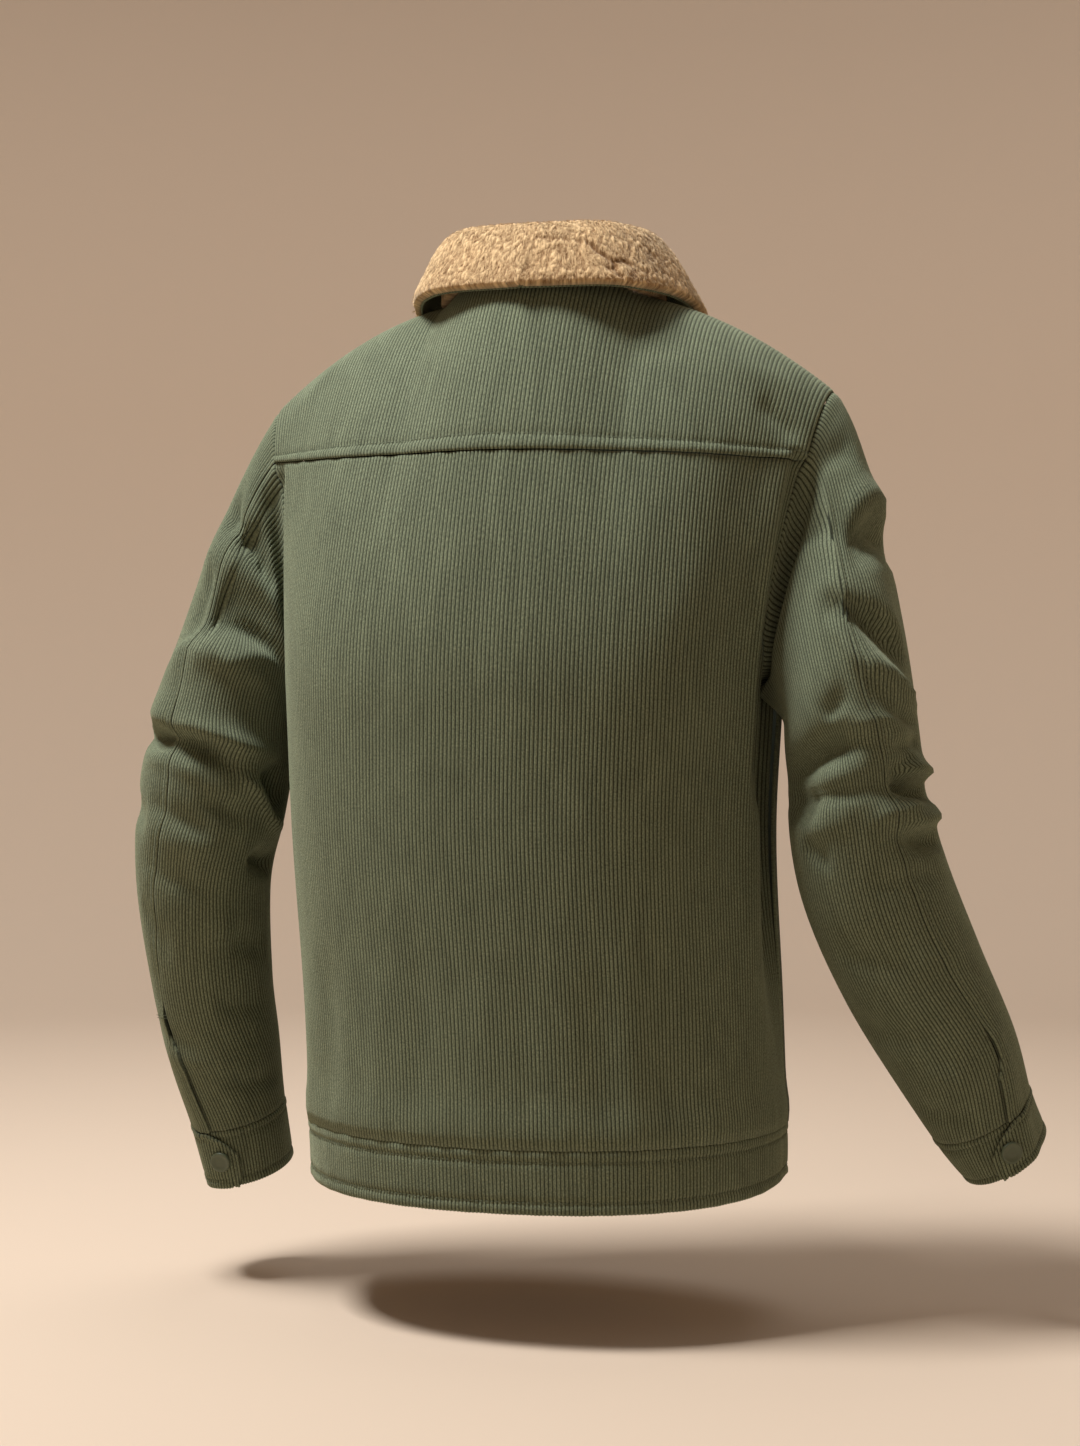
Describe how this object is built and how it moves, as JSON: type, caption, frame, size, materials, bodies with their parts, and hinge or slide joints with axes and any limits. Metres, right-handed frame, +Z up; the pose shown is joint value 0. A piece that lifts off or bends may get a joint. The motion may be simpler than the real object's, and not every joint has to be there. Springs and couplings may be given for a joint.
{
  "type": "corduroy jacket",
  "caption": "Filled-out, hollow corduroy jacket with a deep-pile fold-over collar, back yoke, waistband, snap front and snap cuffs.",
  "frame": {"origin": "middle of the neck opening, level with the upper ends of the shoulder seams, where a wearer's neck and shoulders hold the jacket up", "axes": "+Z up, front of the jacket towards -Y, the wearer's left towards +X"},
  "size_m": [0.6812, 0.2799, 0.7221],
  "materials": {
    "corduroy": "cotton corduroy, cut pile, olive green",
    "pile": "curly pile fleece, tan",
    "snap": "enamelled snap caps, satin, olive green"
  },
  "bodies": {
    "root": {"back_panel": "corduroy", "yoke": "corduroy", "front_left": "corduroy", "front_right": "corduroy", "waistband": "corduroy", "under_sleeve_left": "corduroy", "upper_sleeve_left": "corduroy", "cuff_left": "corduroy", "cuff_snap_left": "snap", "under_sleeve_right": "corduroy", "upper_sleeve_right": "corduroy", "cuff_right": "corduroy", "cuff_snap_right": "snap", "collar": "pile", "under_collar": "corduroy", "front_snap_1": "snap", "front_snap_2": "snap", "front_snap_3": "snap", "front_snap_4": "snap", "front_snap_5": "snap", "waistband_snap": "snap"}
  },
  "joints": []
}
